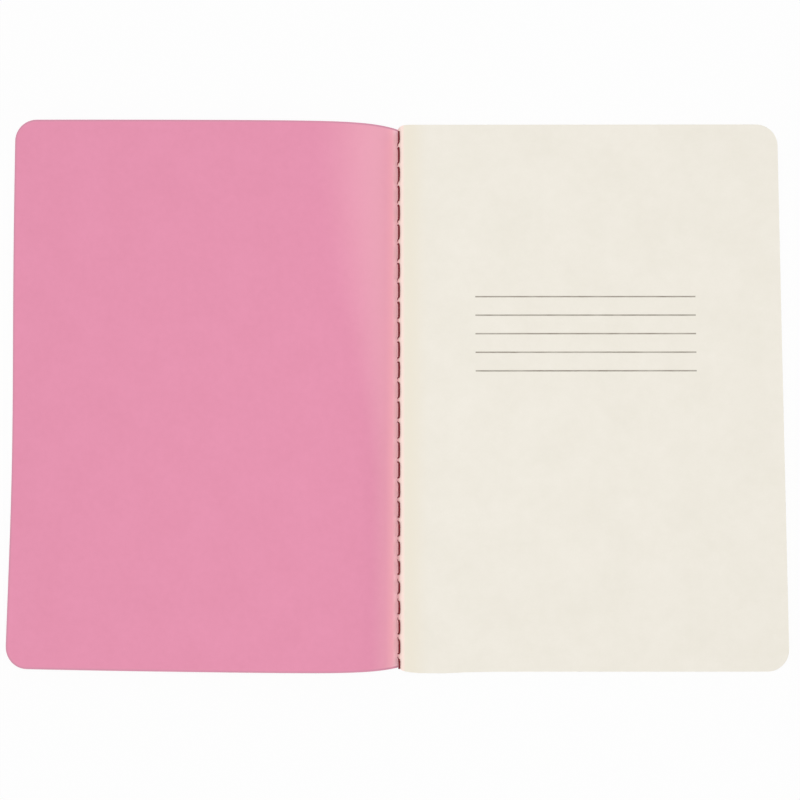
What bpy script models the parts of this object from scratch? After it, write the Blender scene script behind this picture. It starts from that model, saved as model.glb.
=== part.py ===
"""A notebook of A5 pages, lying open at its first page.

One section of folded sheets is sewn through its fold with red thread and
glued along the spine into a folded card cover. The seam lies along Y at
x = 0, the leaves lie to +X, the open front cover lies to -X, and the table
is at z = 0. Metres, +Z up.
"""

import math

import bmesh
import bpy

MM = 0.001

# Pages
PAGE_WIDTH = 148.0 * MM
PAGE_HEIGHT = 210.0 * MM
CORNER_RADIUS = 8.3 * MM
CORNER_STEPS = 5
SHEETS = 16
PAPER = 0.10 * MM
LEAF_PITCH = 0.14 * MM

# Fold of the section
FOLD_REACH = 8.0 * MM
FOLD_FRONT = 0.15 * MM
SWELL = 0.30 * MM
CORE_HALF_HEIGHT = 0.29 * MM

# Card cover
CARD = 0.40 * MM
CREASE = 0.20 * MM
FRONT_START = 22.0 * MM
GUTTER_HEIGHT = 0.50 * MM
COVER_RISE = 8.4 * MM
RISE_LENGTH = 10.0 * MM
COVER_DROOP = 1.9 * MM
CREASE_STEPS = 9
PANEL_STEPS = 9

# Sewing
THREAD = 0.50 * MM
HOLE_MARGIN = 5.0 * MM
HOLE_PITCH = 7.55 * MM
HOLE_OFFSET = -1.2 * MM
HOLE_LENGTH = 2.0 * MM
HOLE_HEIGHT = 0.54 * MM
THREAD_TOP = 5.6 * MM
THREAD_FOOT = 4.4 * MM
STRAND_SPREAD = 0.45 * MM
RUN_ACROSS = 0.47 * MM
RUN_END = 1.90 * MM

# Glue
GLUE_MARGIN = 3.0 * MM

# Clearances
TOUCH = 0.04 * MM
JOINT_GAP = 0.05 * MM

# Worked out from the sizes above
LEAVES = 2 * SHEETS
STACK_HEIGHT = (LEAVES - 1) * LEAF_PITCH + PAPER
HALF_GAP = (LEAF_PITCH - PAPER) / 2
OUTER_OFFSET = (SHEETS - 1) * LEAF_PITCH + PAPER
CORE_FRONT = FOLD_FRONT + OUTER_OFFSET
LEG_SLOPE = SWELL / (FOLD_REACH - CORE_FRONT)
CORNER_GAIN = math.tan(math.radians(22.5))
HALF_PAGE = PAGE_HEIGHT / 2
HOLES = int((PAGE_HEIGHT - 2 * HOLE_MARGIN) / HOLE_PITCH) + 1
GLUE_LENGTH = PAGE_HEIGHT - 2 * GLUE_MARGIN


def fold_shoulder(offset):
    """Where the 45 degree face of a fold meets its sloping leg, as (x, height over the fold's middle)."""
    level = HALF_GAP + offset
    half = CORE_HALF_HEIGHT + CORNER_GAIN * offset
    across = (level + LEG_SLOPE * FOLD_REACH - half + CORE_FRONT - offset) / (1.0 + LEG_SLOPE)
    return across, level + LEG_SLOPE * (FOLD_REACH - across)


FOLD_MIDDLE = CARD + TOUCH + fold_shoulder(OUTER_OFFSET)[1]
STACK_BOTTOM = FOLD_MIDDLE - STACK_HEIGHT / 2
DEEPEST = CORE_FRONT - 0.4 * THREAD


def start_scene():
    for thing in list(bpy.data.objects):
        bpy.data.objects.remove(thing, do_unlink=True)


def material(name, red, green, blue, roughness):
    made = bpy.data.materials.new(name)
    made.use_nodes = True
    shader = made.node_tree.nodes["Principled BSDF"]
    shader.inputs["Base Color"].default_value = (red, green, blue, 1.0)
    shader.inputs["Roughness"].default_value = roughness
    shader.inputs["Metallic"].default_value = 0.0
    return made


def paper_material(name):
    return material(name, 0.855, 0.823, 0.737, 0.85)


def card_material(name):
    return material(name, 0.799, 0.296, 0.439, 0.70)


def thread_material(name):
    return material(name, 0.150, 0.022, 0.032, 0.75)


def add_object(name, mesh_code, paint):
    mesh = bpy.data.meshes.new(name)
    bmesh.ops.recalc_face_normals(mesh_code, faces=mesh_code.faces)
    mesh_code.to_mesh(mesh)
    mesh_code.free()
    mesh.materials.append(paint)
    made = bpy.data.objects.new(name, mesh)
    bpy.context.scene.collection.objects.link(made)
    return made


def add_strip(name, stations, paint):
    """A thin wall along X, from (x on top, z on top, x below, z below, half length in Y) stations."""
    code = bmesh.new()
    rings = []
    for top_x, top_z, low_x, low_z, half in stations:
        ring = [
            code.verts.new((top_x, -half, top_z)),
            code.verts.new((top_x, half, top_z)),
            code.verts.new((low_x, half, low_z)),
            code.verts.new((low_x, -half, low_z)),
        ]
        rings.append(ring)
    for ring, after in zip(rings, rings[1:]):
        for corner in range(4):
            other = (corner + 1) % 4
            code.faces.new((ring[corner], ring[other], after[other], after[corner]))
    code.faces.new(rings[0])
    code.faces.new(rings[-1])
    return add_object(name, code, paint)


def corner_stations(width):
    """Where a page or cover narrows at its rounded outer corners, as (distance from the seam, half length)."""
    stations = []
    for step in range(CORNER_STEPS + 1):
        turn = math.radians(90.0) * step / CORNER_STEPS
        across = width - CORNER_RADIUS + CORNER_RADIUS * math.sin(turn)
        half = HALF_PAGE - CORNER_RADIUS + CORNER_RADIUS * math.cos(turn)
        stations.append((across, half))
    return stations


def leaf_level(number):
    """Height of a leaf's underside: leaf 1 is on top of the stack."""
    return STACK_BOTTOM + (LEAVES - number) * LEAF_PITCH


def add_leaf(number):
    low = leaf_level(number)
    high = low + PAPER
    places = [(FOLD_REACH, HALF_PAGE)] + corner_stations(PAGE_WIDTH)
    stations = [(across, high, across, low, half) for across, half in places]
    name = f"leaf_{number:02d}"
    return add_strip(name, stations, paper_material(name))


def fold_profile(offset):
    """Section of the fold at a distance outside its core: upper end, shoulder, front, front, shoulder, end."""
    front = CORE_FRONT - offset
    half = CORE_HALF_HEIGHT + CORNER_GAIN * offset
    end = (FOLD_REACH - JOINT_GAP, HALF_GAP + offset + LEG_SLOPE * JOINT_GAP)
    upper = [end, fold_shoulder(offset), (front, half)]
    return upper + [(across, -up) for across, up in reversed(upper)]


def hole_middles():
    first = HOLE_OFFSET - (HOLES - 1) / 2 * HOLE_PITCH
    return [first + index * HOLE_PITCH for index in range(HOLES)]


def fold_edges(code, profile):
    """The profile's points at both ends of the fold."""
    edges = []
    for across, up in profile:
        near = code.verts.new((across, -HALF_PAGE, FOLD_MIDDLE + up))
        far = code.verts.new((across, HALF_PAGE, FOLD_MIDDLE + up))
        edges.append((near, far))
    return edges


def pierced_face(code, low, high):
    """The front face of a fold with a row of needle holes. Returns the hole corners, hole by hole."""
    across = low[0].co.x
    half = HOLE_HEIGHT / 2
    stations = []
    for middle in hole_middles():
        stations += [middle - HOLE_LENGTH / 2, middle + HOLE_LENGTH / 2]
    below = [code.verts.new((across, y, FOLD_MIDDLE - half)) for y in stations]
    above = [code.verts.new((across, y, FOLD_MIDDLE + half)) for y in stations]
    for row, edge in ((below, low), (above, high)):
        code.faces.new((edge[0], row[0], edge[1]))
        for one, other in zip(row, row[1:]):
            code.faces.new((one, other, edge[1]))
    code.faces.new((low[0], below[0], above[0]))
    code.faces.new((low[0], above[0], high[0]))
    code.faces.new((low[1], below[-1], above[-1]))
    code.faces.new((low[1], above[-1], high[1]))
    for index in range(1, len(stations) - 1, 2):
        code.faces.new((below[index], below[index + 1], above[index + 1], above[index]))
    holes = []
    for index in range(0, len(stations), 2):
        holes.append((below[index], below[index + 1], above[index + 1], above[index]))
    return holes


def add_fold(number):
    """The folded middle of a sheet, with its row of needle holes. Sheet 1 is the outermost."""
    inside = (SHEETS - number) * LEAF_PITCH
    code = bmesh.new()
    inner = fold_edges(code, fold_profile(inside))
    outer = fold_edges(code, fold_profile(inside + PAPER))
    front = 2
    pierced = []
    for edges in (inner, outer):
        for index in range(len(edges) - 1):
            if index == front:
                pierced.append(pierced_face(code, edges[index + 1], edges[index]))
                continue
            one, other = edges[index], edges[index + 1]
            code.faces.new((one[0], one[1], other[1], other[0]))
    for end in (0, 1):
        for index in range(len(inner) - 1):
            one, other = inner[index], inner[index + 1]
            out_one, out_other = outer[index], outer[index + 1]
            code.faces.new((one[end], other[end], out_other[end], out_one[end]))
    for index in (0, -1):
        one, other = inner[index], outer[index]
        code.faces.new((one[0], one[1], other[1], other[0]))
    for hole, out_hole in zip(*pierced):
        for corner in range(4):
            after = (corner + 1) % 4
            code.faces.new((hole[corner], hole[after], out_hole[after], out_hole[corner]))
    name = f"sheet_{number:02d}_fold"
    return add_object(name, code, paper_material(name))


def cover_height(across):
    """Height of the open front cover's inner face at a distance left of the seam."""
    rise = COVER_RISE * (1.0 - math.exp(-across / RISE_LENGTH))
    droop = COVER_DROOP * (across / PAGE_WIDTH) ** 2
    return GUTTER_HEIGHT + rise - droop


def card_normal(across):
    """Direction out of the open front cover's inner face at a distance left of the seam, as (x, z)."""
    step = 0.01 * MM
    slope = (cover_height(across + step) - cover_height(across - step)) / (2 * step)
    length = math.hypot(slope, 1.0)
    return slope / length, 1.0 / length


def card_station(across, half):
    up_x, up_z = card_normal(across)
    top = cover_height(across)
    return (-across, top, -across - CARD * up_x, top - CARD * up_z, half)


def add_front_cover():
    paint = card_material("front_cover")
    corner = corner_stations(PAGE_WIDTH)
    straight = corner[0][0] - FRONT_START
    places = []
    for step in range(PANEL_STEPS):
        places.append((FRONT_START + straight * step / PANEL_STEPS, HALF_PAGE))
    places += corner
    return add_strip("front_cover", [card_station(*place) for place in places], paint)


def add_cover_fold():
    """The curved strip of the card, from the crease beside the section up to the open front cover."""
    paint = card_material("cover_fold")
    start = CREASE - JOINT_GAP
    stations = [(start, CARD, start, 0.0, HALF_PAGE)]
    end = FRONT_START - JOINT_GAP
    for step in range(CREASE_STEPS + 1):
        stations.append(card_station(end * (step / CREASE_STEPS) ** 1.6, HALF_PAGE))
    return add_strip("cover_fold", stations, paint)


def add_back_cover():
    paint = card_material("back_cover")
    places = [(CREASE + JOINT_GAP, HALF_PAGE)] + corner_stations(PAGE_WIDTH)
    stations = [(across, CARD, across, 0.0, half) for across, half in places]
    return add_strip("back_cover", stations, paint)


def add_spine_glue():
    """A bead of glue in the angle between the outermost fold and the card."""
    outside = fold_profile(OUTER_OFFSET)
    front_x, front_z = outside[3]
    shoulder_x, shoulder_z = outside[4]
    step_off = TOUCH * math.sqrt(2.0)
    top = (front_x - step_off, FOLD_MIDDLE + front_z)
    toe = (shoulder_x - step_off - TOUCH, FOLD_MIDDLE + shoulder_z + TOUCH)
    heel = (FOLD_FRONT - TOUCH, GUTTER_HEIGHT + 2 * TOUCH)
    code = bmesh.new()
    half = GLUE_LENGTH / 2
    near = [code.verts.new((x, -half, z)) for x, z in (top, toe, heel)]
    face = code.faces.new(near)
    grown = bmesh.ops.extrude_face_region(code, geom=[face])
    moved = [item for item in grown["geom"] if isinstance(item, bmesh.types.BMVert)]
    bmesh.ops.translate(code, verts=moved, vec=(0.0, GLUE_LENGTH, 0.0))
    return add_object("spine_glue", code, material("spine_glue", 0.8, 0.78, 0.7, 0.4))


def add_thread(name, route):
    """A thread as a round tube along a route of points."""
    curve = bpy.data.curves.new(name, "CURVE")
    curve.dimensions = "3D"
    curve.bevel_depth = THREAD / 2
    curve.bevel_resolution = 1
    curve.use_fill_caps = True
    spline = curve.splines.new("POLY")
    spline.points.add(len(route) - 1)
    for point, place in zip(spline.points, route):
        point.co = (*place, 1.0)
    curve.materials.append(thread_material(name))
    made = bpy.data.objects.new(name, curve)
    bpy.context.scene.collection.objects.link(made)
    return made


def add_needle_thread():
    """Lies in stitches along the outside of the fold and goes through every hole to the bobbin thread."""
    off = TOUCH + THREAD / 2
    outside = FOLD_FRONT - off
    edge = FOLD_MIDDLE + CORE_HALF_HEIGHT + CORNER_GAIN * OUTER_OFFSET
    # The stitch lies on the fold's upper 45 degree face, and hooks round its lower edge to each hole.
    run_height = edge + RUN_ACROSS - FOLD_FRONT + off * math.sqrt(2.0)
    edge_height = edge + CORNER_GAIN * off
    middles = hole_middles()
    route = [(RUN_ACROSS, middles[0] - THREAD_FOOT, run_height)]
    for middle in middles:
        hooks = []
        for side in (-1, 1):
            run = (RUN_ACROSS, middle + side * RUN_END, run_height)
            corner = (outside, middle + side * (RUN_END + 2 * STRAND_SPREAD) / 2, edge_height)
            leave = (outside, middle + side * 2 * STRAND_SPREAD, FOLD_MIDDLE)
            enter = (FOLD_FRONT, middle + side * STRAND_SPREAD, FOLD_MIDDLE)
            turn = (DEEPEST, middle + side * 0.7 * STRAND_SPREAD, FOLD_MIDDLE)
            hooks.append([run, corner, leave, enter, turn])
        route += hooks[0] + hooks[1][::-1]
    route.append((RUN_ACROSS, middles[-1] + THREAD_TOP, run_height))
    return add_thread("needle_thread", route)


def add_bobbin_thread():
    """Runs straight along the inside of the innermost fold, past the turns of the needle thread."""
    inside = DEEPEST + THREAD + TOUCH
    middles = hole_middles()
    foot = middles[0] - THREAD_FOOT
    top = middles[-1] + THREAD_TOP
    route = [(inside, foot, FOLD_MIDDLE), (inside, top, FOLD_MIDDLE)]
    return add_thread("bobbin_thread", route)


def main():
    start_scene()
    add_back_cover()
    add_cover_fold()
    add_front_cover()
    add_spine_glue()
    for number in range(1, SHEETS + 1):
        add_fold(number)
    for number in range(1, LEAVES + 1):
        add_leaf(number)
    add_needle_thread()
    add_bobbin_thread()


main()
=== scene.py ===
"""Looks for the sewn notebook: one card, sixteen folded sheets, two threads and a bead of glue."""
import math

import bpy
from mathutils import Matrix, Vector


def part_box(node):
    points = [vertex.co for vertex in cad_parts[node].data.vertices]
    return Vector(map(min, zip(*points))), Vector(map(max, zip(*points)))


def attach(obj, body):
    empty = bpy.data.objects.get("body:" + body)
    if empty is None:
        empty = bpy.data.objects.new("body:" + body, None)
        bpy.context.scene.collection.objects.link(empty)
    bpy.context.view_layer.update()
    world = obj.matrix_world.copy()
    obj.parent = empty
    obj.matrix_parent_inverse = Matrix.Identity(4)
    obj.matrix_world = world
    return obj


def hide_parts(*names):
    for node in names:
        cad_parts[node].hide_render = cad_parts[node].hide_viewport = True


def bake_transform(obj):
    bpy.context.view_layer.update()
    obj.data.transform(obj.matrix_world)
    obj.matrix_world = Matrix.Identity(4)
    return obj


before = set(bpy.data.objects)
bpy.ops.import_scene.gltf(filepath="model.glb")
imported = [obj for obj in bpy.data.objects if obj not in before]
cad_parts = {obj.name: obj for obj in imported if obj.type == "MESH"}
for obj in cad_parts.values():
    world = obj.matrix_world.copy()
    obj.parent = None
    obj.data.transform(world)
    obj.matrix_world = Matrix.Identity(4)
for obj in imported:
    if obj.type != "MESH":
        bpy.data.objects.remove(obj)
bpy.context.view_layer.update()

MM = 0.001

# Page and card, as in the frame
PAGE_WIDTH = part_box("leaf_01")[1][0]
HALF_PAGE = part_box("leaf_01")[1][1]
LEAF_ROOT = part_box("leaf_01")[0][0]
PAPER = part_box("leaf_01")[1][2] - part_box("leaf_01")[0][2]
LEAF_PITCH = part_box("leaf_01")[0][2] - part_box("leaf_02")[0][2]
SHEETS = 16
LEAVES = 2 * SHEETS
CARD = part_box("back_cover")[1][2]
CORNER_RADIUS = 8.3 * MM
CORNER_STEPS = 12

# Fold of the section
FOLD_MIDDLE = (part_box("leaf_16")[0][2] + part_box("leaf_17")[1][2]) / 2
FOLD_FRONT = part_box("sheet_01_fold")[0][0]
HALF_GAP = (LEAF_PITCH - PAPER) / 2
OUTER_OFFSET = (SHEETS - 1) * LEAF_PITCH + PAPER
CORE_FRONT = FOLD_FRONT + OUTER_OFFSET
SWELL = 0.30 * MM
LEG_SLOPE = SWELL / (LEAF_ROOT - CORE_FRONT)
CORE_RADIUS = 0.15 * MM
LOWER_END = 3.0 * MM
LEG_STOPS = (LEAF_ROOT, 6.5 * MM, 5.0 * MM, 4.0 * MM, LOWER_END)
ARC_STEPS = 8

# Cuts across the flat sheets, where they bend
ROOT_CUTS = 34
LOWER_ROOT_CUTS = 8
PAGE_CUTS = 14
CORNER_CUTS = 4

# Wave of the leaves: a slow ripple, and a lift beside the fold near the foot
RIPPLE = 0.10 * MM
RIPPLE_ACROSS = 31 * MM
RIPPLE_UP = 47 * MM
RIPPLE_START = 7 * MM
RIPPLE_LEAVES = 40
LIFT = 1.0 * MM
LIFT_PASSED_ON = 0.66
LIFT_ACROSS = 10.5 * MM
LIFT_WIDTH = 6.5 * MM
LIFT_TOP = -74 * MM
LIFT_FADE = 11 * MM

# Pull of the sewing on the sheets' spine corners, and length of the foot of the pages
CORNER_PULL = 0.55 * MM
CORNER_PULL_REACH = 3.2 * MM
SEAM_PULL = 0.8 * MM
LONG_FOOT = 0.18 * MM
LONGER_FOOT = 0.55 * MM
LONGER_FOOT_AT = 13 * MM

# Open front cover
GUTTER_HEIGHT = 0.50 * MM
COVER_RISE = 8.4 * MM
RISE_LENGTH = 10.0 * MM
COVER_DROOP = 1.9 * MM
CREASE = 0.20 * MM
EDGE_DROOP = 2.75 * MM
EDGE_DROOP_MIDDLE = -30.0 * MM
EDGE_DROOP_REACH = 68.0 * MM
COVER_SKEW = 0.0098
CREASE_BEND = 12 * MM
CARD_BEND = 30 * MM
WORN_EDGE = 0.08 * MM

# Sewing, with the holes counted from the foot
HOLES = 27
HOLE_PITCH = 7.55 * MM
HOLE_OFFSET = -1.2 * MM
HOLE_DRIFT = 1.6 * MM
DRIFT_HOLE = 9
DRIFT_HOLES = 7
THREAD_TOP = 5.6 * MM
THREAD_FOOT = 4.4 * MM
RUN_ACROSS = 0.54 * MM
RUN_END = 1.45 * MM
RUN_UNEVEN = 0.13
TIGHT_END = 0.55 * MM
TIGHT_HOLE = 3.5
TIGHT_HOLES = 2.0
HOOK_WIDTH = 0.48
HOOK_ANGLE = 22.0
HOOK_BEND = 1.0 * MM
HOOK_DOWN = 0.75 * MM
HOOK_IN = 0.45 * MM
HOOK_DEEP = 0.34 * MM
PLY_RADIUS = 0.185 * MM
PLY_SPREAD = 1.1
PLIES = 3
TWIST_LENGTH = 1.5 * MM
THREAD_STEP = 0.16 * MM

# Glue
GLUE_RADIUS = 0.78 * MM
GLUE_IN = 0.85 * MM
GLUE_UP = 0.35 * MM

# Print and marks on the flat sheets, in millimetres from the seam and from the middle of the page
RULES = 5
RULE_TOP = 37.49
RULE_PITCH = 7.175
RULE_LEFT = 30.0
RULE_RIGHT = 115.0
RULE_WIDTH = 0.51
RULE_SOFT = 0.05
# Line on the fold's shoulder where the highlight is painted, also the middle of the warm band
FOLD_SHINE = 0.35
FOLD_RUB = -1.7

# Grains of the clouds in card and paper: size in millimetres, and share
CARD_CLOUDS = ((14.0, 0.4), (2.6, 0.35), (0.7, 0.25))
PAPER_CLOUDS = ((18.0, 0.5), (4.0, 0.3), (0.9, 0.2))

# Colours, dark and light where there are two
CARD_PINK = ("E28DAA", "E691AF")
# Pale pink by the crease: partly rubbed card, partly painted light that lifts the gutter's shade
CARD_RUBBED_AND_PAINTED_LIGHT = "FABAC6"
# Painted light: the palest pink, right at the crease, to cancel the shade there
CARD_PAINTED_LIGHT = "FFD8E2"
# Painted shade along the die-cut edge of the card
CARD_EDGE_SHADE = "D58EA6"
PAPER_CREAM = ("ECE7DB", "F0EBE0")
PAPER_WARM = "EDE6D6"
# Painted highlight on the fold's shoulder
PAPER_PAINTED_HIGHLIGHT = "FFE4DB"
PAPER_RUBBED = "FFCCCB"
RULE_INK = "8F877A"
THREAD_RED = ("62121E", "912B35")
GLUE_WHITE = ("E3DCCB", "EFEADD")

# Floor and light
FLOOR_SIZE = 16.0
FLOOR_LEVEL = -0.2 * MM
FLOOR_WHITE = 0.91
SKY_LIGHT = 0.42
SKY_SEEN = 0.945
LAMPS = (
    ("soft_key", (0.35, 0.10, 1.15), 0.7, 5.3),
    ("soft_fill", (-0.40, -0.10, 1.05), 0.8, 4.3),
)

# Camera, as the photograph was taken
CAMERA_AT = (0.925 * MM, -15.3 * MM, 300.0 * MM)
CAMERA_TILT = 2.511
CAMERA_ROLL = -0.052
CAMERA_LENS = 34.61


def linear(text):
    """Linear colour of an sRGB hex value."""
    values = []
    for start in (0, 2, 4):
        level = int(text[start:start + 2], 16) / 255
        values.append(level / 12.92 if level <= 0.04045 else ((level + 0.055) / 1.055) ** 2.4)
    return (*values, 1.0)


def add_node(tree, kind, settings=None, **links):
    """Add a node. Settings are attributes. Links are sockets, by name or by number after a line, each set
    to a value, or linked to a socket or to a node's first output."""
    made = tree.nodes.new(kind)
    for name, value in (settings or {}).items():
        setattr(made, name, value)
    for name, value in links.items():
        key = int(name[1:]) if name[1:].isdigit() else name.replace("_", " ")
        if isinstance(value, bpy.types.Node):
            value = value.outputs[0]
        if isinstance(value, bpy.types.NodeSocket):
            tree.links.new(value, made.inputs[key])
        else:
            made.inputs[key].default_value = value
    return made


def new_material(name):
    """An empty material and its node tree."""
    made = bpy.data.materials.new(name)
    made.use_nodes = True
    made.node_tree.nodes.clear()
    return made, made.node_tree


def flat_millimetres(tree):
    """The place on the flat sheet, in millimetres, which stays with the paper when it bends."""
    return add_node(tree, "ShaderNodeUVMap", {"uv_map": "flat_mm"})


def cloudy_colour(tree, place, pair, grains):
    """Colour that drifts between a dark and a light one, with one noise for each grain."""
    total = None
    for size, share in grains:
        noise = add_node(tree, "ShaderNodeTexNoise", None, Vector=place, Scale=1.0 / size, Detail=3.0)
        part = add_node(tree, "ShaderNodeMath", {"operation": "MULTIPLY"}, _0=noise, _1=share)
        if total is None:
            total = part
        else:
            total = add_node(tree, "ShaderNodeMath", {"operation": "ADD"}, _0=total, _1=part)
    spread = add_node(tree, "ShaderNodeMapRange", None, Value=total, From_Min=0.36, From_Max=0.64)
    dark, light = linear(pair[0]), linear(pair[1])
    return add_node(tree, "ShaderNodeMix", {"data_type": "RGBA"}, _0=spread, _6=dark, _7=light).outputs[2]


def tinted(tree, colour, away, start, end, most, tint):
    """Colour that takes on a tint while a distance goes from start to end, as much as most at the end."""
    share = add_node(tree, "ShaderNodeMapRange", {"interpolation_type": "SMOOTHSTEP"}, Value=away,
                     From_Min=start, From_Max=end, To_Max=most)
    mix = add_node(tree, "ShaderNodeMix", {"data_type": "RGBA"}, _0=share, _6=colour, _7=linear(tint))
    return mix.outputs[2]


def fibre_bump(tree, place, size, depth):
    """Tooth of the surface: fibres of a size in millimetres, coarser than real ones so that they show."""
    noise = add_node(tree, "ShaderNodeTexNoise", None, Vector=place, Scale=1.0 / size, Detail=4.0,
                     Roughness=0.65)
    return add_node(tree, "ShaderNodeBump", None, Height=noise, Distance=depth, Strength=0.6)


def dyed_card():
    """Pink pulp-dyed card, uncoated: matt, faintly cloudy, with a fine tooth, and paler by the crease, where
    painted light lifts the shade beside the section.
    """
    made, tree = new_material("dyed_uncoated_card")
    place = flat_millimetres(tree)
    colour = cloudy_colour(tree, place, CARD_PINK, CARD_CLOUDS)
    split = add_node(tree, "ShaderNodeSeparateXYZ", None, Vector=place)
    away = add_node(tree, "ShaderNodeMath", {"operation": "ABSOLUTE"}, _0=split.outputs[0])
    # The pale band beside the crease is partly rubbed card and partly painted light against the gutter's
    # shade; it is narrow at the foot and wide at the top
    reach = add_node(tree, "ShaderNodeMapRange", {"interpolation_type": "SMOOTHSTEP"}, Value=split.outputs[1],
                     From_Min=-40.0, From_Max=100.0, To_Min=0.48, To_Max=1.45)
    wide = add_node(tree, "ShaderNodeMath", {"operation": "DIVIDE"}, _0=away, _1=reach)
    colour = tinted(tree, colour, wide, 24.0, 1.0, 0.5, CARD_RUBBED_AND_PAINTED_LIGHT)
    colour = tinted(tree, colour, away, 5.0, 0.3, 0.9, CARD_RUBBED_AND_PAINTED_LIGHT)
    # Painted light: paler still right at the crease, against the shade the section's fold casts there
    colour = tinted(tree, colour, away, 2.4, 0.4, 0.8, CARD_PAINTED_LIGHT)
    colour = painted_edge_shade(tree, place, colour)
    bump = fibre_bump(tree, place, 0.45, 0.04 * MM)
    shader = add_node(tree, "ShaderNodeBsdfPrincipled", None, Base_Color=colour, Roughness=0.72, IOR=1.47,
                      Normal=bump)
    add_node(tree, "ShaderNodeOutputMaterial", None, Surface=shader)
    return made


def painted_edge_shade(tree, place, card):
    """A thin duller line round the card, where the die pressed its edge: painted shade of the rounded edge
    turning away from the light.
    """
    radius = CORNER_RADIUS / MM
    inner = (PAGE_WIDTH / MM - radius, HALF_PAGE / MM - radius, 0.0)
    out = add_node(tree, "ShaderNodeVectorMath", {"operation": "ABSOLUTE"}, _0=place)
    out = add_node(tree, "ShaderNodeVectorMath", {"operation": "SUBTRACT"}, _0=out, _1=inner)
    out = add_node(tree, "ShaderNodeVectorMath", {"operation": "MAXIMUM"}, _0=out, _1=(0.0, 0.0, 0.0))
    away = add_node(tree, "ShaderNodeVectorMath", {"operation": "LENGTH"}, _0=out).outputs["Value"]
    return tinted(tree, card, away, radius - 1.0, radius - 0.35, 1.0, CARD_EDGE_SHADE)


def book_paper(name, ruled=False):
    """Cream uncoated book paper: matt and faintly cloudy, with printed rules on the first page."""
    made, tree = new_material(name)
    place = flat_millimetres(tree)
    colour = cloudy_colour(tree, place, PAPER_CREAM, PAPER_CLOUDS)
    if ruled:
        colour = printed_rules(tree, place, colour)
        colour = fold_tints_and_painted_highlight(tree, place, colour)
    bump = fibre_bump(tree, place, 0.35, 0.02 * MM)
    shader = add_node(tree, "ShaderNodeBsdfPrincipled", None, Base_Color=colour, Roughness=0.82, IOR=1.47,
                      Normal=bump)
    add_node(tree, "ShaderNodeOutputMaterial", None, Surface=shader)
    return made


def printed_rules(tree, place, paper):
    """Five ruled lines in grey-brown ink, with the ink a little uneven along them."""
    split = add_node(tree, "ShaderNodeSeparateXYZ", None, Vector=place)
    across, up = split.outputs[0], split.outputs[1]
    down = add_node(tree, "ShaderNodeMath", {"operation": "SUBTRACT"}, _0=RULE_TOP, _1=up)
    row = add_node(tree, "ShaderNodeMath", {"operation": "DIVIDE"}, _0=down, _1=RULE_PITCH)
    rule = add_node(tree, "ShaderNodeMath", {"operation": "ROUND"}, _0=row)
    rule = add_node(tree, "ShaderNodeMath", {"operation": "MAXIMUM"}, _0=rule, _1=0.0)
    rule = add_node(tree, "ShaderNodeMath", {"operation": "MINIMUM"}, _0=rule, _1=RULES - 1.0)
    away = add_node(tree, "ShaderNodeMath", {"operation": "SUBTRACT"}, _0=row, _1=rule)
    away = add_node(tree, "ShaderNodeMath", {"operation": "ABSOLUTE"}, _0=away)
    away = add_node(tree, "ShaderNodeMath", {"operation": "MULTIPLY"}, _0=away, _1=RULE_PITCH)
    ink = add_node(tree, "ShaderNodeMapRange", None, Value=away, From_Min=RULE_WIDTH / 2 + RULE_SOFT,
                   From_Max=RULE_WIDTH / 2 - RULE_SOFT)
    begun = add_node(tree, "ShaderNodeMath", {"operation": "GREATER_THAN"}, _0=across, _1=RULE_LEFT)
    going = add_node(tree, "ShaderNodeMath", {"operation": "LESS_THAN"}, _0=across, _1=RULE_RIGHT)
    noise = add_node(tree, "ShaderNodeTexNoise", None, Vector=place, Scale=0.16, Detail=2.0)
    strength = add_node(tree, "ShaderNodeMapRange", None, Value=noise, From_Min=0.3, From_Max=0.7,
                        To_Min=0.72, To_Max=1.0)
    for part in (begun, going, strength):
        ink = add_node(tree, "ShaderNodeMath", {"operation": "MULTIPLY"}, _0=ink, _1=part)
    mix = add_node(tree, "ShaderNodeMix", {"data_type": "RGBA"}, _0=ink, _6=paper, _7=linear(RULE_INK))
    return mix.outputs[2]


def fold_tints_and_painted_highlight(tree, place, paper):
    """Warmer paper by the fold, a painted highlight as a pale line on its shoulder, and pink rubbed off the
    card onto its front.
    """
    split = add_node(tree, "ShaderNodeSeparateXYZ", None, Vector=place)
    colour = paper
    for middle, start, end, most, tint in (
        (FOLD_SHINE, 13.0, 3.0, 1.0, PAPER_WARM),
        # painted highlight on the shoulder
        (FOLD_SHINE, 1.6, 0.5, 0.85, PAPER_PAINTED_HIGHLIGHT),
        (FOLD_RUB, 1.3, 0.5, 0.75, PAPER_RUBBED),
    ):
        off = add_node(tree, "ShaderNodeMath", {"operation": "SUBTRACT"}, _0=split.outputs[0], _1=middle)
        away = add_node(tree, "ShaderNodeMath", {"operation": "ABSOLUTE"}, _0=off)
        colour = tinted(tree, colour, away, start, end, most, tint)
    return colour


def speckled_stuff(name, pair, grains, detail, depth, strength, **finish):
    """A solid stuff whose colour and surface vary together, with so many grains to a metre."""
    made, tree = new_material(name)
    place = add_node(tree, "ShaderNodeTexCoord").outputs["Object"]
    noise = add_node(tree, "ShaderNodeTexNoise", None, Vector=place, Scale=grains, Detail=detail)
    dark, light = linear(pair[0]), linear(pair[1])
    colour = add_node(tree, "ShaderNodeMix", {"data_type": "RGBA"}, _0=noise, _6=dark, _7=light).outputs[2]
    bump = add_node(tree, "ShaderNodeBump", None, Height=noise, Distance=depth, Strength=strength)
    shader = add_node(tree, "ShaderNodeBsdfPrincipled", None, Base_Color=colour, Normal=bump, **finish)
    add_node(tree, "ShaderNodeOutputMaterial", None, Surface=shader)
    return made


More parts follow.
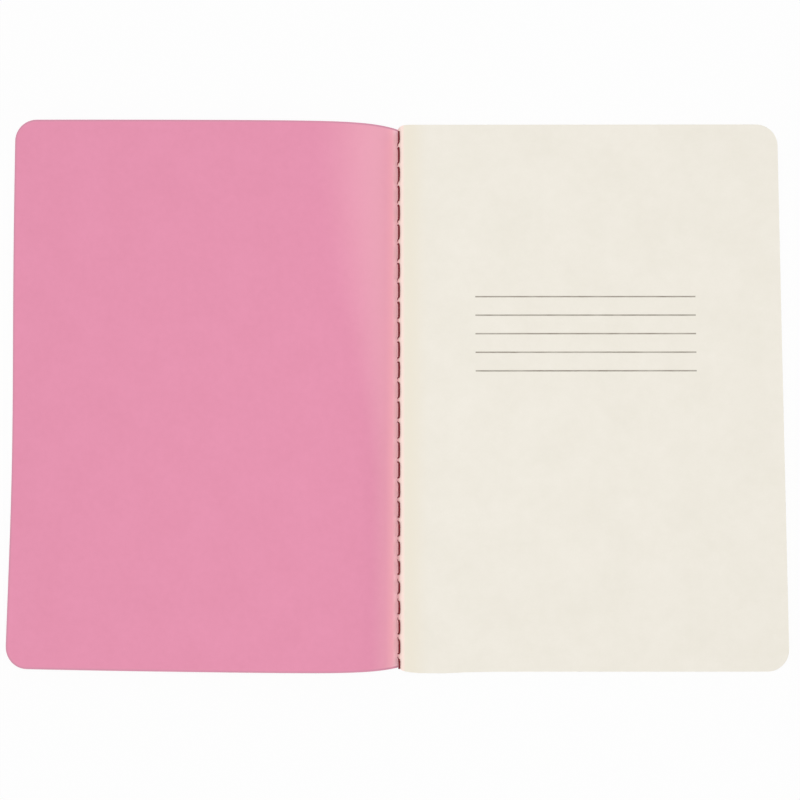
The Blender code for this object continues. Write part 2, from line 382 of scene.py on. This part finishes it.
def sewing_thread():
    """Dark red spun thread, twisted: almost matt, with fibres about 0.4 mm long that make it fuzzy."""
    return speckled_stuff("twisted_red_thread", THREAD_RED, 2600.0, 3.0, 0.03 * MM, 0.5,
                          Roughness=0.7, IOR=1.45, Specular_IOR_Level=0.25)


def bookbinding_glue():
    """White bookbinding glue, brushed on and dried: milky and smooth, with soft ridges about 1 mm apart."""
    return speckled_stuff("dried_bookbinding_glue", GLUE_WHITE, 900.0, 2.0, 0.1 * MM, 0.4,
                          Roughness=0.35, IOR=1.46)


def deselect_all():
    bpy.ops.object.select_all(action="DESELECT")


def make_active(thing):
    deselect_all()
    thing.select_set(True)
    bpy.context.view_layer.objects.active = thing


def apply_modifiers(thing):
    make_active(thing)
    for modifier in list(thing.modifiers):
        bpy.ops.object.modifier_apply(modifier=modifier.name)


def flat_blank(name, start, end, columns, rows):
    """A flat sheet from start to end along X, with round outer corners, cut at the columns and rows."""
    deselect_all()
    bpy.ops.mesh.primitive_plane_add(size=2.0, location=((start + end) / 2, 0.0, 0.0))
    blank = bpy.context.object
    blank.name = name
    blank.scale = ((end - start) / 2, HALF_PAGE, 1.0)
    bpy.ops.object.transform_apply(location=True, rotation=True, scale=True)
    outer = end if abs(end) > abs(start) else start
    for vertex in blank.data.vertices:
        vertex.select = abs(vertex.co.x - outer) < 0.1 * MM
    for edge in blank.data.edges:
        edge.select = False
    for face in blank.data.polygons:
        face.select = False
    bpy.ops.object.mode_set(mode="EDIT")
    bpy.ops.mesh.select_mode(type="VERT")
    bpy.ops.mesh.bevel(affect="VERTICES", offset=CORNER_RADIUS, segments=CORNER_STEPS, profile=0.5)
    for axis, places in ((0, columns), (1, rows)):
        for place in places:
            bpy.ops.mesh.select_all(action="SELECT")
            point = [0.0, 0.0, 0.0]
            point[axis] = place
            normal = [0.0, 0.0, 0.0]
            normal[axis] = 1.0
            bpy.ops.mesh.bisect(plane_co=point, plane_no=normal, threshold=0.01 * MM)
    bpy.ops.object.mode_set(mode="OBJECT")
    layer = blank.data.uv_layers.active or blank.data.uv_layers.new()
    layer.name = "flat_mm"
    for loop in blank.data.loops:
        place = blank.data.vertices[loop.vertex_index].co
        layer.data[loop.index].uv = (place.x / MM, place.y / MM)
    return blank


def spaced(start, end, count):
    """Places between start and end, both left out."""
    return [start + (end - start) * step / count for step in range(1, count)]


def leg_height(offset, across):
    """Height of a sheet's leg over the fold's middle."""
    return HALF_GAP + offset + LEG_SLOPE * (LEAF_ROOT - across)


def fold_route(offset):
    """Section of a fold's sheet, as points from the end of its lower leg round the front to its upper leg."""
    radius = CORE_RADIUS + offset
    centre_x = CORE_FRONT + CORE_RADIUS
    centre_z = leg_height(offset, centre_x) - radius * math.hypot(LEG_SLOPE, 1.0)
    lean = math.atan(LEG_SLOPE)
    quarter = []
    for step in range(ARC_STEPS + 1):
        angle = math.pi / 2 - lean + (math.pi / 2 + lean) * step / ARC_STEPS
        quarter.append((centre_x + radius * math.cos(angle), centre_z + radius * math.sin(angle)))
    leg = [(across, leg_height(offset, across)) for across in LEG_STOPS]
    lower = [(x, -z) for x, z in leg[-1:] + quarter]
    return lower + (leg + quarter)[::-1]


def along(route, share):
    """The point at a share of a route's length."""
    steps = [math.dist(one, other) for one, other in zip(route, route[1:])]
    left = share * sum(steps)
    for one, other, step in zip(route, route[1:], steps):
        if left <= step:
            part = left / step
            return tuple(a + (b - a) * part for a, b in zip(one, other))
        left -= step
    return route[-1]


def page_wave(number, across, up):
    """Rise of a leaf over its flat place: a slow ripple, and a lift of the first leaves beside the fold."""
    away = min(1.0, max(0.0, (across - LEAF_ROOT) / RIPPLE_START))
    ripple = RIPPLE * math.sin(across / RIPPLE_ACROSS + 0.6) * math.sin(up / RIPPLE_UP + 0.9)
    share = 1.0 - (number - 1) / RIPPLE_LEAVES
    foot = 1.0 / (1.0 + math.exp((up - LIFT_TOP) / LIFT_FADE))
    lift = LIFT * LIFT_PASSED_ON ** (number - 1) * foot
    bulge = math.exp(-((across - LIFT_ACROSS) / LIFT_WIDTH) ** 2)
    return away * (ripple * share + lift * bulge)


def worn_corner(across, up):
    """Place along the seam: the spine corners are pulled in, and beside them the foot is cut a bit long."""
    pull = CORNER_PULL * math.exp(-(across / CORNER_PULL_REACH) ** 2)
    pull += SEAM_PULL * math.exp(-(max(across, 0.0) / MM) ** 2)
    long_foot = LONG_FOOT + LONGER_FOOT * math.exp(-((across - LONGER_FOOT_AT) / LONGER_FOOT_AT) ** 2)
    long_foot *= min(1.0, max(0.0, across / LEAF_ROOT))
    return up * (1.0 - pull / HALF_PAGE) - long_foot * max(0.0, -up / HALF_PAGE) ** 4


def bend_upper_leaf(blank, number):
    """Shape an upper leaf, whose blank runs from -8 mm on its lower leg to 8 mm where it leaves the fold."""
    offset = (SHEETS - number) * LEAF_PITCH + PAPER / 2
    route = fold_route(offset)
    level = FOLD_MIDDLE + HALF_GAP + offset
    for vertex in blank.data.vertices:
        across, up = vertex.co.x, vertex.co.y
        if across < LEAF_ROOT:
            x, z = along(route, (across + LEAF_ROOT) / (2 * LEAF_ROOT))
            vertex.co = (x, worn_corner(x, up), FOLD_MIDDLE + z)
        else:
            vertex.co = (across, worn_corner(across, up), level + page_wave(number, across, up))


def bend_lower_leaf(blank, number):
    """Shape a lower leaf, which leaves the fold on its underside."""
    offset = (number - SHEETS - 1) * LEAF_PITCH + PAPER / 2
    for vertex in blank.data.vertices:
        across, up = vertex.co.x, vertex.co.y
        if across < LEAF_ROOT:
            vertex.co.z = FOLD_MIDDLE - leg_height(offset, across)
        else:
            vertex.co.z = FOLD_MIDDLE - HALF_GAP - offset + page_wave(number, across, up)
        vertex.co.y = worn_corner(across, up)


def copy_of(blank, name):
    """A copy of a blank, with its own mesh."""
    made = blank.copy()
    made.data = blank.data.copy()
    made.name = name
    made.data.name = name
    bpy.context.scene.collection.objects.link(made)
    return made


def thicken(piece, thickness, middle):
    """Give a sheet its thickness: middle 0 centres it on the sheet, -1 puts it below."""
    solid = piece.modifiers.new("Thickness", "SOLIDIFY")
    solid.thickness = thickness
    solid.offset = middle
    solid.use_even_offset = True
    apply_modifiers(piece)
    make_active(piece)
    bpy.ops.object.shade_smooth_by_angle(angle=math.radians(35.0))


def make_leaves(first_paper, plain_paper):
    """The 32 leaves. Each upper one carries its sheet's fold, round to the lower leg."""
    outer_columns = spaced(PAGE_WIDTH - CORNER_RADIUS, PAGE_WIDTH, CORNER_CUTS)
    page_columns = [LEAF_ROOT] + spaced(LEAF_ROOT, PAGE_WIDTH - CORNER_RADIUS, PAGE_CUTS) + outer_columns
    rows = [0.0] + spaced(-HALF_PAGE, HALF_PAGE, PAGE_CUTS)
    root = spaced(-LEAF_ROOT, LEAF_ROOT, ROOT_CUTS)
    upper = flat_blank("upper_blank", -LEAF_ROOT, PAGE_WIDTH, root + page_columns, rows)
    lower_root = spaced(LOWER_END, LEAF_ROOT, LOWER_ROOT_CUTS)
    lower = flat_blank("lower_blank", LOWER_END, PAGE_WIDTH, lower_root + page_columns, rows)
    for number in range(1, LEAVES + 1):
        node = f"leaf_{number:02d}"
        is_upper = number <= SHEETS
        piece = copy_of(upper if is_upper else lower, f"page_leaf_{number:02d}")
        if is_upper:
            bend_upper_leaf(piece, number)
        else:
            bend_lower_leaf(piece, number)
        thicken(piece, PAPER, 0.0)
        piece.data.materials.append(first_paper if number == 1 else plain_paper)
        if is_upper:
            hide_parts(node, f"sheet_{number:02d}_fold")
        else:
            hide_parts(node)
        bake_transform(piece)
    for blank in (upper, lower):
        bpy.data.objects.remove(blank, do_unlink=True)


def cover_height(across, up):
    """Height of the open front cover's inner face: it springs up from the crease and droops at its edge."""
    rise = COVER_RISE * (1.0 - math.exp(-across / RISE_LENGTH))
    droop = COVER_DROOP * (across / PAGE_WIDTH) ** 2
    dip = math.exp(-((up - EDGE_DROOP_MIDDLE) / EDGE_DROOP_REACH) ** 2)
    edge = EDGE_DROOP * dip * (across / PAGE_WIDTH) ** 5
    return GUTTER_HEIGHT + rise - droop - edge


def make_front_card(card):
    """The front of the card, from the crease beside the section to its outer edge."""
    corner = PAGE_WIDTH - CORNER_RADIUS
    columns = [0.0] + spaced(0.0, CREASE_BEND, 16) + [CREASE_BEND] + spaced(CREASE_BEND, CARD_BEND, 9)
    columns += [CARD_BEND] + spaced(CARD_BEND, corner, 16)
    columns += [corner] + spaced(corner, PAGE_WIDTH, CORNER_CUTS)
    rows = spaced(-HALF_PAGE, HALF_PAGE, 24)
    piece = flat_blank("front_card", -PAGE_WIDTH, CREASE, [-across for across in columns], rows)
    for vertex in piece.data.vertices:
        across, up = max(0.0, -vertex.co.x), vertex.co.y
        # The strip past the seam slopes down to the back card
        vertex.co.z = cover_height(across, up) - 0.5 * max(0.0, vertex.co.x)
        vertex.co.y = up + COVER_SKEW * across
    thicken(piece, CARD, -1.0)
    soften_edges(piece)
    piece.data.materials.append(card)
    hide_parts("front_cover", "cover_fold")
    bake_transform(piece)


def soften_edges(piece):
    """Round the cut edges of the card a little, as handling does."""
    bevel = piece.modifiers.new("Worn edge", "BEVEL")
    bevel.width = WORN_EDGE
    bevel.segments = 2
    bevel.limit_method = "ANGLE"
    bevel.angle_limit = math.radians(50.0)
    apply_modifiers(piece)


def make_back_card(card):
    """The back of the card, flat on the table under the pages."""
    columns = spaced(0.3 * MM, PAGE_WIDTH, 10) + spaced(PAGE_WIDTH - CORNER_RADIUS, PAGE_WIDTH, CORNER_CUTS)
    rows = spaced(-HALF_PAGE, HALF_PAGE, 10)
    piece = flat_blank("back_card", CREASE + 0.05 * MM, PAGE_WIDTH, columns, rows)
    for vertex in piece.data.vertices:
        vertex.co.z = CARD
    thicken(piece, CARD, -1.0)
    soften_edges(piece)
    piece.data.materials.append(card)
    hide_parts("back_cover")
    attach(piece, "base")


def hole_middles():
    """Middles of the needle holes along the seam, which the feed let drift a little toward the foot."""
    first = HOLE_OFFSET - (HOLES - 1) / 2 * HOLE_PITCH
    drifts = [HOLE_DRIFT * math.exp(-((index - DRIFT_HOLE) / DRIFT_HOLES) ** 2) for index in range(HOLES)]
    return [first + index * HOLE_PITCH - drift for index, drift in enumerate(drifts)]


def stitch_route():
    """The needle thread's middle line, with its width as a fourth number: a stitch on the fold's shoulder,
    then a hook down into each hole. The stitches differ a little, and near the foot they were drawn tight."""
    reach = PLY_RADIUS * (1 + PLY_SPREAD)
    radius = CORE_RADIUS + OUTER_OFFSET
    centre_x = CORE_FRONT + CORE_RADIUS
    centre_z = FOLD_MIDDLE + leg_height(OUTER_OFFSET, centre_x) - radius * math.hypot(LEG_SLOPE, 1.0)
    run_off = radius + reach
    hook_off = radius + reach * HOOK_WIDTH
    run_turn = math.acos((centre_x - RUN_ACROSS) / run_off)
    hook_turn = math.radians(HOOK_ANGLE)
    run_x, run_z = centre_x - run_off * math.cos(run_turn), centre_z + run_off * math.sin(run_turn)
    hook_x, hook_z = centre_x - hook_off * math.cos(hook_turn), centre_z + hook_off * math.sin(hook_turn)
    outside = centre_x - hook_off
    deep = CORE_FRONT - 0.2 * MM
    middles = hole_middles()
    route = [(run_x, middles[0] - THREAD_FOOT, run_z, 1.0)]
    for index, middle in enumerate(middles):
        hooks = []
        tight = TIGHT_END * math.exp(-((index - TIGHT_HOLE) / TIGHT_HOLES) ** 2)
        for side in (-1, 1):
            end = RUN_END * (1.0 + RUN_UNEVEN * math.sin(2.4 * index + side)) + tight
            hooks.append([
                (run_x, middle + side * end, run_z, 1.0),
                (hook_x, middle + side * (HOOK_BEND + tight), hook_z, HOOK_WIDTH),
                (outside + 0.1 * MM, middle + side * (HOOK_DOWN + tight), FOLD_MIDDLE + 0.1 * MM, HOOK_WIDTH),
                (FOLD_FRONT + 0.1 * MM, middle + side * (HOOK_IN + tight / 2), FOLD_MIDDLE, HOOK_WIDTH),
                (deep, middle + side * HOOK_DEEP, FOLD_MIDDLE, HOOK_WIDTH),
            ])
        route += hooks[0] + hooks[1][::-1]
    route.append((run_x, middles[-1] + THREAD_TOP, run_z, 1.0))
    return [Vector(point) for point in route]


def smooth_route(route, step):
    """Points about a step apart on a Catmull-Rom curve through the route."""
    points = []
    ends = [2 * route[0] - route[1]] + route + [2 * route[-1] - route[-2]]
    for before, one, other, after in zip(ends, ends[1:], ends[2:], ends[3:]):
        count = max(1, round((other - one).xyz.length / step))
        for index in range(count):
            t = index / count
            ease = (-t + 2 * t * t - t ** 3) / 2, (2 - 5 * t * t + 3 * t ** 3) / 2
            late = (t + 4 * t * t - 3 * t ** 3) / 2, (t ** 3 - t * t) / 2
            points.append(before * ease[0] + one * ease[1] + other * late[0] + after * late[1])
    points.append(route[-1])
    return points


def twisted_thread(name, route, paint):
    """Plies wound round one another along a route, as one mesh."""
    points = smooth_route(route, THREAD_STEP)
    curve = bpy.data.curves.new(name, "CURVE")
    curve.dimensions = "3D"
    curve.bevel_depth = PLY_RADIUS
    curve.bevel_resolution = 1
    curve.use_fill_caps = True
    side = Vector((0.0, 0.0, 1.0))
    frames = []
    travelled = 0.0
    for index, point in enumerate(points):
        ahead = (points[min(index + 1, len(points) - 1)] - points[max(index - 1, 0)]).xyz
        ahead.normalize()
        side = (side - ahead * side.dot(ahead)).normalized()
        if index:
            travelled += (point - points[index - 1]).xyz.length
        frames.append((point, side.copy(), ahead.cross(side), travelled))
    for ply in range(PLIES):
        spline = curve.splines.new("POLY")
        spline.points.add(len(frames) - 1)
        for target, (point, one, other, travelled) in zip(spline.points, frames):
            turn = math.tau * (ply / PLIES + travelled / TWIST_LENGTH)
            offset = (one * math.cos(turn) + other * math.sin(turn)) * PLY_RADIUS * PLY_SPREAD * point.w
            target.co = (*(point.xyz + offset), 1.0)
            target.radius = point.w
    thread = bpy.data.objects.new(name, curve)
    bpy.context.scene.collection.objects.link(thread)
    make_active(thread)
    bpy.ops.object.convert(target="MESH")
    thread = bpy.context.object
    bpy.ops.object.shade_smooth()
    thread.data.materials.clear()
    thread.data.materials.append(paint)
    return thread


def make_threads(paint):
    """The needle thread outside the fold, and the bobbin thread straight along the inside of it."""
    needle = twisted_thread("twisted_needle_thread", stitch_route(), paint)
    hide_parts("needle_thread")
    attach(needle, "base")
    low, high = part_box("bobbin_thread")
    x, z = (low[0] + high[0]) / 2, (low[2] + high[2]) / 2
    ends = [Vector((x, y, z, 1.0)) for y in (low[1] + 0.1 * MM, 0.0, high[1] - 0.1 * MM)]
    bobbin = twisted_thread("twisted_bobbin_thread", ends, paint)
    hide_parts("bobbin_thread")
    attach(bobbin, "base")


def make_glue(paint):
    """A bead of glue, tucked between the outermost fold and the card."""
    low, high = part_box("spine_glue")
    deselect_all()
    place = (FOLD_FRONT + GLUE_IN, 0.0, CARD + GLUE_UP)
    bpy.ops.mesh.primitive_cylinder_add(vertices=28, radius=GLUE_RADIUS, depth=high[1] - low[1],
                                        location=place, rotation=(math.radians(90.0), 0.0, 0.0))
    bead = bpy.context.object
    bead.name = "glue_bead"
    bpy.ops.object.mode_set(mode="EDIT")
    bpy.ops.mesh.select_mode(type="FACE")
    bpy.ops.mesh.select_all(action="DESELECT")
    bpy.ops.object.mode_set(mode="OBJECT")
    for face in bead.data.polygons:
        face.select = len(face.vertices) > 4
    bpy.ops.object.mode_set(mode="EDIT")
    bpy.ops.mesh.inset(thickness=0.15 * MM)
    bpy.ops.transform.resize(value=(1.0, 1.0, 1.003))
    bpy.ops.object.mode_set(mode="OBJECT")
    bpy.ops.object.transform_apply(location=True, rotation=True, scale=True)
    bpy.ops.object.shade_smooth_by_angle(angle=math.radians(50.0))
    bead.data.materials.clear()
    bead.data.materials.append(paint)
    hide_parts("spine_glue")
    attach(bead, "base")


def make_floor():
    """A plain floor that keeps the shadow, and is almost white to the eye and in gloss."""
    deselect_all()
    bpy.ops.mesh.primitive_plane_add(size=FLOOR_SIZE, location=(0.0, 0.0, FLOOR_LEVEL))
    floor = bpy.context.object
    floor.name = "floor"
    made, tree = new_material("pale_floor")
    rays = add_node(tree, "ShaderNodeLightPath")
    seen = add_node(tree, "ShaderNodeMath", {"operation": "MAXIMUM"}, _0=rays.outputs["Is Camera Ray"],
                    _1=rays.outputs["Is Glossy Ray"])
    share = add_node(tree, "ShaderNodeMath", {"operation": "MULTIPLY"}, _0=seen, _1=FLOOR_WHITE)
    matt = add_node(tree, "ShaderNodeBsdfDiffuse", None, Color=(0.86, 0.86, 0.86, 1.0))
    white = add_node(tree, "ShaderNodeEmission", None, Color=(1.0, 1.0, 1.0, 1.0), Strength=1.0)
    mix = add_node(tree, "ShaderNodeMixShader", None, _0=share, _1=matt, _2=white)
    add_node(tree, "ShaderNodeOutputMaterial", None, Surface=mix)
    floor.data.materials.append(made)


def make_light():
    """An even sky that looks as pale as the far floor, and two wide lamps overhead."""
    world = bpy.data.worlds.new("soft_studio")
    bpy.context.scene.world = world
    world.use_nodes = True
    tree = world.node_tree
    tree.nodes.clear()
    rays = add_node(tree, "ShaderNodeLightPath")
    seen = add_node(tree, "ShaderNodeMath", {"operation": "MAXIMUM"}, _0=rays.outputs["Is Camera Ray"],
                    _1=rays.outputs["Is Transmission Ray"])
    strength = add_node(tree, "ShaderNodeMapRange", None, Value=seen, To_Min=SKY_LIGHT, To_Max=SKY_SEEN)
    back = add_node(tree, "ShaderNodeBackground", None, Color=(1.0, 1.0, 1.0, 1.0), Strength=strength)
    add_node(tree, "ShaderNodeOutputWorld", None, Surface=back)
    for name, place, size, power in LAMPS:
        light = bpy.data.lights.new(name, "AREA")
        light.shape = "SQUARE"
        light.size = size
        light.energy = power
        lamp = bpy.data.objects.new(name, light)
        lamp.location = place
        lamp.rotation_euler = Vector(place).to_track_quat("Z", "Y").to_euler()
        bpy.context.scene.collection.objects.link(lamp)


def make_camera():
    """The camera looks straight down, as the photograph's did, leaning a little toward the top."""
    camera = bpy.data.cameras.new("camera")
    camera.sensor_width = 36.0
    camera.lens = CAMERA_LENS
    camera.clip_start = 0.01
    made = bpy.data.objects.new("camera", camera)
    bpy.context.scene.collection.objects.link(made)
    tilt = Matrix.Rotation(math.radians(CAMERA_TILT), 4, "X")
    roll = Matrix.Rotation(math.radians(CAMERA_ROLL), 4, "Z")
    made.matrix_world = Matrix.Translation(CAMERA_AT) @ (tilt @ roll)
    bpy.context.scene.camera = made
    bpy.context.scene.view_settings.view_transform = "Standard"


def main():
    make_camera()
    make_light()
    make_floor()
    make_leaves(book_paper("printed_book_paper", ruled=True), book_paper("plain_book_paper"))
    card = dyed_card()
    make_front_card(card)
    make_back_card(card)
    make_threads(sewing_thread())
    make_glue(bookbinding_glue())


main()
